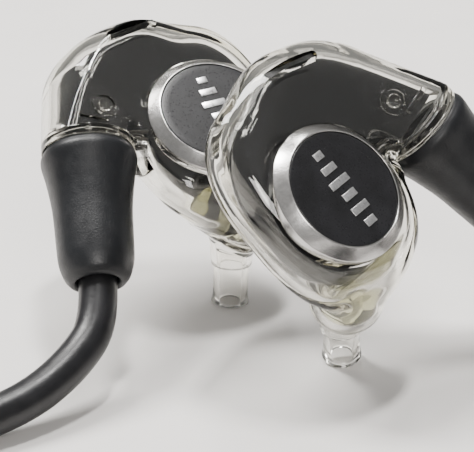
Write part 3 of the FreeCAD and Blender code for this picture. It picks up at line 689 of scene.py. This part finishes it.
# ---------------------------------------------------------------- earpiece
def shell_forms():
    """The skin with the nozzle's collar on it, and the cavity with the collar's bore."""
    top = SEAM - NOZZLE_AXIS * COLLAR_LENGTH
    past = SEAM + NOZZLE_AXIS
    bore_r = SPIGOT_R + SPIGOT_GAP
    collar = ((tuple(top), COLLAR_R[0]), (tuple(past), COLLAR_R[1]))
    bore = ((tuple(top - NOZZLE_AXIS * BORE_START), bore_r), (tuple(past), bore_r))
    skin = skin_mesh(lambda p: smaller(body(p), round_cone(p, *collar), COLLAR_BLEND),
                     LOW_WITH_COLLAR, HIGH, SHELL_STEP)
    cavity = skin_mesh(lambda p: smaller(body(p) + WALL, round_cone(p, *bore), BORE_BLEND),
                       LOW_WITH_COLLAR, HIGH, SHELL_STEP)
    return new_mesh("skin", *skin), new_mesh("cavity", *cavity)


def neck_cutter(stop):
    """Cuts the arm square, this far before the boot."""
    return cylinder(Vector(NECK[0]) - BOOT_AXIS * stop, BOOT_AXIS, NECK_CUT_LENGTH, NECK_CUT_R)


def clear_shell():
    """Both clear shells as they are once bonded: skin, cavity, collar, seat, slot and raised details."""
    solid, cavity = shell_forms()
    boss, boss_up = on_skin(BOSS_AT)
    rim = eased([(-DETAIL_ROOT, RIM_R[0]), (-DETAIL_ROOT, RIM_R[1]), (RIM_RISE, RIM_R[1]),
                 (RIM_RISE, RIM_R[0])], DETAIL_EASE)
    solid = combine(solid, lathe(rim, boss, boss_up, 64), "UNION")
    bar, bar_up = on_skin(BAR_AT)
    size = (BAR_SIZE[0], BAR_SIZE[1], 2 * BAR_SIZE[2])
    raised = rounded_block(bar, BOOT_AXIS.cross(bar_up), bar_up, size, DETAIL_EASE)
    solid = combine(solid, raised, "UNION")
    seat = cylinder((0, 0, -SEAT_DEPTH - SEAT_FLOOR_GAP), (0, 0, 1), CUT, RING_R + SEAT_GAP, 128)
    middle, along, out = slot_frame()
    slot_size = ((SLOT_END - SLOT_START).length, SLOT_WIDTH, SLOT_DEPTH)
    slot = rounded_block(middle, along, out, slot_size, SLOT_EASE)
    seam = cylinder(SEAM, NOZZLE_AXIS, CUT, 4.0)
    for cutter in (cavity, seat, slot, neck_cutter(SHELL_STOP), seam):
        solid = combine(solid, cutter, "DIFFERENCE")
    add_to_ears("clear_shell", solid, CLEAR, ["outer_shell", "inner_shell"])


def dark_housing():
    """Glossy body inside the shell, hollowed for the face ring and the driver, and the arm's filler."""
    whole = skin_mesh(lambda p: body(p) + HOUSING_INSET, LOW, HIGH, HOUSING_STEP)
    solid = new_mesh("inside", *whole)
    bay_r, bay_depth = DRIVER_BAY
    pod = solid.copy()
    for cutter in (half_space((ARM_SPLIT - SPLIT_GAP, 0, 0), (1, 0, 0)),
                   half_space((0, POD_END, 0), (0, 1, 0)),
                   cylinder((0, 0, -SEAT_DEPTH), (0, 0, 1), CUT, RING_R + HOUSING_GAP, 128),
                   cylinder((0, 0, -bay_depth), (0, 0, 1), CUT, bay_r)):
        pod = combine(pod, cutter, "DIFFERENCE")
    add_to_ears("dark_housing", pod, DARK, ["housing_front", "housing_back"])
    arm = combine(solid, half_space((ARM_SPLIT + SPLIT_GAP, 0, 0), (-1, 0, 0)), "DIFFERENCE")
    arm = combine(arm, neck_cutter(FILLER_STOP), "DIFFERENCE")
    add_to_ears("dark_arm", arm, DARK, ["arm_core"])


def sound_duct():
    """Greenish-yellow clear block between the dark housing and the nozzle."""
    block = new_mesh("duct", *skin_mesh(lambda p: body(p) + CHAMBER_INSET, LOW, HIGH, DUCT_STEP))
    block = combine(block, half_space((0, POD_END + POD_GAP, 0), (0, -1, 0)), "DIFFERENCE")
    start = SEAM - NOZZLE_AXIS * THROAT_BORE_LENGTH
    bore = cylinder(start, NOZZLE_AXIS, THROAT_BORE_LENGTH + 0.1, THROAT_BORE_R)
    block = combine(block, bore, "DIFFERENCE")
    add_to_ears("sound_duct", block, AMBER, ["acoustic_chamber"])


def nozzle():
    """Clear tube with a slightly flared lip."""
    length = (TIP - SEAM).length
    outer = flowing(NOZZLE_OUTLINE + [(length - NOZZLE_EASE, NOZZLE_LIP_R)])
    profile = [(-SPIGOT_LENGTH, NOZZLE_BORE), (-SPIGOT_LENGTH, SPIGOT_R), (-SNUG, SPIGOT_R)] + outer
    profile += [(length, NOZZLE_LIP_R - NOZZLE_EASE), (length, NOZZLE_BORE + NOZZLE_EASE),
                (length - 0.1, NOZZLE_BORE)]
    add_to_ears("nozzle", lathe(profile, SEAM, NOZZLE_AXIS), CLEAR, ["nozzle"])


def face():
    """Silver bevelled ring, satin disc and a plain row of bars."""
    outside = RING_R - SNUG
    opening = DISC_R + SNUG
    ledge = DISC_R - DISC_LEDGE
    ledge_top = DISC_FLOOR - SNUG
    ring = eased([(0.0, outside), (RING_RISE, opening + RING_LIP), (RING_RISE, opening),
                  (ledge_top, opening), (ledge_top, ledge), (-SEAT_DEPTH, ledge),
                  (-SEAT_DEPTH, outside)], RING_EASE)
    add_to_ears("face_ring", lathe(ring, (0, 0, 0), (0, 0, 1), 160), SILVER,
                ["face_ring"], even=True)
    top = RING_RISE - DISC_SUNK
    edge = DISC_R - SNUG
    rim = eased([(DISC_SIDE, edge), (top, edge), (top, DISC_FLAT_R)], DISC_EASE, closed=False)
    disc = [(DISC_FLOOR, 0.0), (DISC_FLOOR, edge)] + rim + [(top, 0.0)]
    add_to_ears("face_disc", lathe(disc, (0, 0, 0), (0, 0, 1), 160), DISC,
                ["face_disc"], even=True)
    bars = []
    for k, length in enumerate(MARK_BARS):
        y = (k - (len(MARK_BARS) - 1) / 2) * MARK_PITCH
        size = (length, MARK_WIDTH, MARK_RISE)
        centre = (0, y, top + MARK_RISE / 2)
        bars.append(rounded_block(centre, (1, 0, 0), (0, 0, 1), size, MARK_EASE))
    add_to_ears("face_mark", joined(bars), MARK, ["face_mark"])


def slot_frame():
    """Middle of the vent slot on the skin, its direction along, and its direction out."""
    middle, out = on_skin((SLOT_START + SLOT_END) / 2)
    along = SLOT_END - SLOT_START
    return middle, (along - out * along.dot(out)).normalized(), out


def vent_screen():
    """Fine dark screen that closes the vent slot from inside."""
    middle, along, out = slot_frame()
    length = (SLOT_END - SLOT_START).length - 2 * SCREEN_GAP[0]
    size = (length, SLOT_WIDTH - 2 * SCREEN_GAP[1], SCREEN_THICK)
    screen = rounded_block(middle - out * SCREEN_DEPTH, along, out, size, 0.03)
    add_to_ears("vent_screen", screen, MESH, ["vent_screen"])


def button():
    """Small round dot with a rounded edge, inside the moulded ring."""
    boss, up = on_skin(BOSS_AT)
    rim = eased([(-0.1, BUTTON_R), (BUTTON_RISE, BUTTON_R), (BUTTON_RISE, 0.2)], BUTTON_EASE,
                closed=False)
    profile = [(-BUTTON_DEPTH, 0.0), (-BUTTON_DEPTH, BUTTON_R)] + rim + [(BUTTON_RISE, 0.0)]
    add_to_ears("button", lathe(profile, boss, up, 64), CLEAR, ["button"], even=True)


def neck_flange():
    """Clear collar between the shell and the boot."""
    outer, inner = FLANGE_R
    start = Vector(NECK[0]) - BOOT_AXIS * (FLANGE_LENGTH + FLANGE_GAP)
    profile = eased([(0.0, inner), (0.0, outer), (FLANGE_LENGTH, outer), (FLANGE_LENGTH, inner)],
                    FLANGE_EASE)
    add_to_ears("neck_flange", lathe(profile, start, BOOT_AXIS), CLEAR, ["neck_ring"],
                even=True)


def boot():
    """Rubber boot that narrows to the cable, with a rolled lip round a recessed opening."""
    radius, depth = BOOT_SOCKET
    profile = [(depth, 0.0), (depth, radius), (0.0, radius)] + flowing(BOOT_OUTLINE, 6)
    profile += BOOT_LIP + [(BOOT_LIP[-1][0], 0.0)]
    add_to_ears("boot", lathe(profile, NECK[0], BOOT_AXIS, 128), BOOT, ["boot"])


# ---------------------------------------------------------------- cable
def on_coil(coil, turned, shift=0.0):
    """Centre of a cable that has turned this many degrees round a coil."""
    wound = min(turned, 2 * coil["sweep"] - turned)
    radius = (coil["radius"] - coil["pitch"] * wound / 360.0 + shift)
    angle = math.radians(coil["start"] + turned)
    risen = min(max((turned - coil["sweep"] + CLIMB) / (2 * CLIMB), 0.0), 1.0)
    return (coil["at"][0] + radius * math.cos(angle), coil["at"][1] + radius * math.sin(angle),
            LIFTED + LAYER * risen)


def turns(coil, first, shift=0.0):
    """Points of a coil's turns; each stands out a little, because the curve passes inside it."""
    last = 2 * coil["sweep"]
    count = math.ceil((last - first) / COIL_STEP)
    wider = 1.0 / math.cos(math.radians(COIL_STEP / 2))
    points = []
    for k in range(count + 1):
        x, y, z = on_coil(coil, first + (last - first) * k / count, shift)
        cx, cy = coil["at"]
        grow = wider if 0 < k < count else 1.0
        points.append((cx + (x - cx) * grow, cy + (y - cy) * grow, z))
    return points


def beside(points, shift):
    """Points of a parallel route, this far to the left of one that is seen from above."""
    moved = []
    for k, (x, y, z) in enumerate(points):
        before = points[max(k - 1, 0)]
        after = points[min(k + 1, len(points) - 1)]
        along = Vector((after[0] - before[0], after[1] - before[1])).normalized()
        moved.append((x - along.y * shift, y + along.x * shift, z))
    return moved


def boot_exit(side):
    """Where a leg leaves its boot, and the unit direction it leaves in, in millimetres."""
    matrix = Matrix.Scale(1 / MM, 4) @ ear_matrix(side)
    end = matrix @ (Vector(NECK[0]) + BOOT_AXIS * BOOT_LENGTH)
    return end, (end - matrix @ Vector(NECK[0])).normalized()


def cable(name, points, nodes):
    """Round cable on one smooth curve."""
    curve = bpy.data.curves.new(name, "CURVE")
    curve.dimensions = "3D"
    spline = curve.splines.new("NURBS")
    spline.points.add(len(points) - 1)
    for point, (x, y, z) in zip(spline.points, points):
        point.co = (x * MM, y * MM, z * MM, 1.0)
    spline.order_u = 3
    spline.use_endpoint_u = True
    curve.resolution_u = 10
    curve.bevel_depth = CABLE_D / 2 * MM
    curve.bevel_resolution = 8
    curve.use_fill_caps = True
    curve.materials.append(JACKET)
    piece = bpy.data.objects.new(name, curve)
    bpy.context.scene.collection.objects.link(piece)
    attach(piece, ROOT)
    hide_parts(*nodes)
    return piece


def leg(side, lead, joins, shift, nodes):
    """One leg, from inside its boot to the splitter."""
    end, out = boot_exit(side)
    tail = beside([on_coil(LEG_COIL, 2 * LEG_COIL["sweep"])] + PAIR_TAIL, shift)[1:]
    points = [tuple(end - out * IN_BOOT), tuple(end + out * STRAIGHT_OUT[side])] + lead
    points += turns(LEG_COIL, joins, -shift) + tail
    piece = cable(f"{side}_leg", points, nodes)


def main_cable():
    """The cable from the splitter to the plug."""
    points = MAIN_LEAD + turns(MAIN_COIL, 0.0) + MAIN_TAIL
    piece = cable("main_cable", points, ["main_cable_lead", "main_cable_coil", "main_cable_tail"])


def slider():
    """Keeper that slides along both legs."""
    mesh = rounded_block(SLIDER_AT, (1, 0, 0), (0, 0, 1), SLIDER_SIZE, SLIDER_EASE, 4)
    for side in (1, -1):
        start = SLIDER_AT + Vector((-SLIDER_SIZE[0], side * PAIR / 2, 0))
        bore = cylinder(start, (1, 0, 0), 2 * SLIDER_SIZE[0], CABLE_D / 2 + SLIDER_GAP)
        mesh = combine(mesh, bore, "DIFFERENCE")
    return even_normals(add("leg_slider_look", to_metres(mesh), MOULDED, "slider",
                            ["leg_slider"]))


def splitter():
    """Moulded block with shallow grip grooves."""
    centre = SPLITTER_START + Vector((SPLITTER_SIZE[0] / 2, 0, 0))
    mesh = rounded_block(centre, (1, 0, 0), (0, 0, 1), SPLITTER_SIZE, SPLITTER_EASE, 5)
    top = centre.z + SPLITTER_SIZE[2] / 2
    for k in range(GRIP_GROOVES):
        x = centre.x + (k - (GRIP_GROOVES - 1) / 2) * GRIP_PITCH
        groove = rounded_block((x, centre.y, top), (1, 0, 0), (0, 0, 1), GRIP_SIZE, GRIP_EASE, 2)
        mesh = combine(mesh, groove, "DIFFERENCE")
    return even_normals(add("splitter_look", to_metres(mesh), MOULDED,
                            nodes=["splitter"]))


def tie_loop(coil, strands, along, grow):
    """Outline of a strap round a coil's bundle, as (distance from the coil's centre, height)."""
    spread = CABLE_D / 2 + (strands - 1) * PAIR / 2
    inner = coil["radius"] - coil["pitch"] * coil["sweep"] / 360.0 - spread - TIE_SLACK - grow
    shift = Vector(coil["ring_shift"] + (0,))
    ahead = shift.dot(along)
    reach = math.sqrt(coil["ring_radius"] ** 2 - shift.length ** 2 + ahead ** 2)
    outer = ahead + reach + TIE_SLACK + grow
    low = LIFTED - CABLE_D / 2 - grow
    high = LIFTED + LAYER + CABLE_D / 2 + TIE_LIFT + grow
    return eased([(inner, low), (outer, low), (outer, high), (inner, high)], TIE_CORNER + grow, 5)


def tie(name, coil, strands, degrees, node):
    """Woven strap looped round a coil's bundle."""
    angle = math.radians(degrees)
    along = Vector((math.cos(angle), math.sin(angle), 0))
    across = Vector((-math.sin(angle), math.cos(angle), 0))
    middle = Vector((coil["at"][0], coil["at"][1], 0))
    loops = [tie_loop(coil, strands, along, grow) for grow in (TIE_THICK, 0.0)]
    count = len(loops[0])
    points = []
    for loop in loops:
        for side in (-TIE_WIDTH / 2, TIE_WIDTH / 2):
            points += [middle + along * r + across * side + Vector((0, 0, z)) for r, z in loop]
    faces = []
    for k in range(count):
        on = (k + 1) % count
        for a, b in ((0, 1), (3, 2), (2, 0), (1, 3)):
            faces.append((a * count + k, a * count + on, b * count + on, b * count + k))
    mesh = new_mesh(name, points, faces)
    work = bmesh.new()
    work.from_mesh(mesh)
    bmesh.ops.recalc_face_normals(work, faces=work.faces)
    work.to_mesh(mesh)
    work.free()
    return even_normals(add(name, to_metres(mesh), STRAP, nodes=[node]))


# ---------------------------------------------------------------- plug
def plug_piece(name, profile, finish, node, body_name=ROOT):
    """Turned piece of the plug."""
    mesh = lathe(profile, PLUG_START, PLUG_AXIS, 96)
    return even_normals(add(name, to_metres(mesh), finish, body_name, [node]))


def plug_boot():
    """Rubber bend relief with ribs that grow towards the plug."""
    ribs = []
    for k in range(RIB_COUNT):
        at = RIB_START + RIB_PITCH * k
        radius = RIB_R + RIB_GROWTH * k
        ribs += [(at + along, radius + rise) for along, rise in RIB_OUTLINE]
    profile = PLUG_BOOT_FRONT + ribs + PLUG_BOOT_BACK
    return plug_piece("plug_boot_look", profile, BOOT, "plug_boot")


def plug_body():
    """Metal shell with a collar behind the sleeve and a hollow nose."""
    start, collar_end, collar_r = PLUG_COLLAR
    nose_start, nose_end, nose_r = PLUG_NOSE
    cavity_floor, cavity_r = PLUG_CAVITY
    outline = [(start, collar_r), (collar_end, collar_r), (collar_end, PLUG_CORE_R),
               (nose_start, PLUG_CORE_R), (nose_start, nose_r), (nose_end, nose_r), (nose_end, cavity_r),
               (cavity_floor, cavity_r)]
    profile = [(start, 0.0)] + eased(outline, PLUG_EASE, closed=False) + [(cavity_floor, 0.0)]
    return plug_piece("plug_body_look", profile, NICKEL, "plug_body")


def plug_sleeve():
    """Grip sleeve with four turned grooves."""
    start, end, radius = SLEEVE
    profile = [(start, SLEEVE_BORE), (start, radius - 0.09), (start + 0.1, radius)]
    for at in SLEEVE_GROOVES:
        profile += [(at, radius), (at + GROOVE_SLOPE, GROOVE_R),
                    (at + GROOVE_WIDTH - GROOVE_SLOPE, GROOVE_R), (at + GROOVE_WIDTH, radius)]
    profile += [(end - 0.19, radius), (end, radius - 0.14), (end, SLEEVE_BORE)]
    return plug_piece("plug_sleeve_look", profile, NICKEL, "plug_sleeve", "sleeve")


def plug():
    """Push-pull plug: its three shown pieces and the CAD's insulator and pins."""
    return [plug_boot(), plug_body(), plug_sleeve(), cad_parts["plug_insert"],
            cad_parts["plug_pins"]]


# ---------------------------------------------------------------- CAD nodes that stay
def finish_cad_nodes():
    """Materials of the CAD pieces whose shape is right as it is."""
    kept = {"stator_front": GOLD, "stator_back": GOLD, "spacer_ring": SPACER, "diaphragm": FILM,
            "driver_retainer": SPACER, "lead_wires": WIRE}
    finishes = {f"{name}_{side}": finish for name, finish in kept.items() for side in PLACES}
    finishes["plug_insert"] = INSULATOR
    finishes["plug_pins"] = GOLD
    for name, finish in finishes.items():
        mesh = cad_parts[name].data
        mesh.materials.clear()
        mesh.materials.append(finish)


# ---------------------------------------------------------------- stage, light and camera
def stage():
    """Pale floor that reaches far past the picture."""
    mesh = new_mesh("floor", [(-3, -3, 0), (3, -3, 0), (3, 3, 0), (-3, 3, 0)], [(0, 1, 2, 3)])
    floor = bpy.data.objects.new("floor", mesh)
    bpy.context.scene.collection.objects.link(floor)
    made = material("pale_floor", (0.74, 0.72, 0.70), 0.85)
    vary_colour(made, noise(made, 60.0), (0.72, 0.70, 0.68), (0.76, 0.74, 0.72))
    add_bump(made, noise(made, 1500.0), 0.00003, 0.3)
    mesh.materials.append(made)


def lamp(name, at, target, size, power, colour):
    """Soft rectangular light, in metres and watts."""
    data = bpy.data.lights.new(name, "AREA")
    data.shape = "RECTANGLE"
    data.size, data.size_y = size
    data.energy = power
    data.color = colour
    lamp_object = bpy.data.objects.new(name, data)
    lamp_object.location = at
    lamp_object.rotation_euler = (Vector(target) - Vector(at)).to_track_quat("-Z", "Y").to_euler()
    bpy.context.scene.collection.objects.link(lamp_object)


def sky():
    """Soft room light that fades towards the horizon."""
    world = bpy.data.worlds.new("room")
    world.use_nodes = True
    nodes, links = world.node_tree.nodes, world.node_tree.links
    place = nodes.new("ShaderNodeTexCoord")
    split = nodes.new("ShaderNodeSeparateXYZ")
    ramp = nodes.new("ShaderNodeValToRGB")
    ramp.color_ramp.elements[0].position = 0.05
    ramp.color_ramp.elements[0].color = (0.58, 0.58, 0.57, 1.0)
    ramp.color_ramp.elements[1].position = 0.75
    ramp.color_ramp.elements[1].color = (0.97, 0.96, 0.94, 1.0)
    links.new(place.outputs["Generated"], split.inputs["Vector"])
    links.new(split.outputs["Z"], ramp.inputs["Fac"])
    links.new(ramp.outputs["Color"], nodes["Background"].inputs["Color"])
    nodes["Background"].inputs["Strength"].default_value = 0.37
    bpy.context.scene.world = world


def light():
    """Soft room light, three windows above and one weak lamp in front."""
    sky()
    lamp("window", (-0.42, 0.22, 0.75), (0, 0, 0), (0.22, 0.36), 12.5, (1.0, 0.985, 0.96))
    lamp("top_window", (0.04, 0.10, 0.85), (0, 0, 0), (0.07, 0.18), 6.5, (1.0, 0.985, 0.965))
    lamp("strip_window", (-0.02, 0.42, 0.80), (0, 0, 0), (0.05, 0.34), 2.5, (1.0, 0.985, 0.965))
    lamp("front", (0.10, -0.70, 0.45), (0, 0, 0.01), (0.30, 0.20), 3.5, (1.0, 0.97, 0.94))


def camera():
    """Looks down on the two earpieces from in front."""
    data = bpy.data.cameras.new("camera")
    data.sensor_width = 36.0
    data.lens = CAMERA_LENS
    data.clip_start = 0.01
    data.clip_end = 10.0
    view = bpy.data.objects.new("camera", data)
    view.location = CAMERA_AT * MM
    view.rotation_euler = (math.pi / 2 - CAMERA_DOWN, 0, 0)
    bpy.context.scene.collection.objects.link(view)
    bpy.context.scene.camera = view


camera()
stage()
light()
finish_cad_nodes()
slider_piece = slider()
splitter_piece = splitter()
leg_tie = tie("legs_tie_look", LEG_COIL, 2, 300.0, "legs_tie")
main_tie = tie("main_cable_tie_look", MAIN_COIL, 1, 60.0, "main_cable_tie")
plug_pieces = plug()
leg("left", LEFT_LEAD, LEFT_JOINS, -PAIR / 2, ["left_leg_lead", "left_leg_tail", "legs_coil"])
leg("right", RIGHT_LEAD, 0.0, PAIR / 2, ["right_leg_lead", "right_leg_tail"])
main_cable()
clear_shell()
dark_housing()
sound_duct()
nozzle()
face()
vent_screen()
button()
neck_flange()
boot()
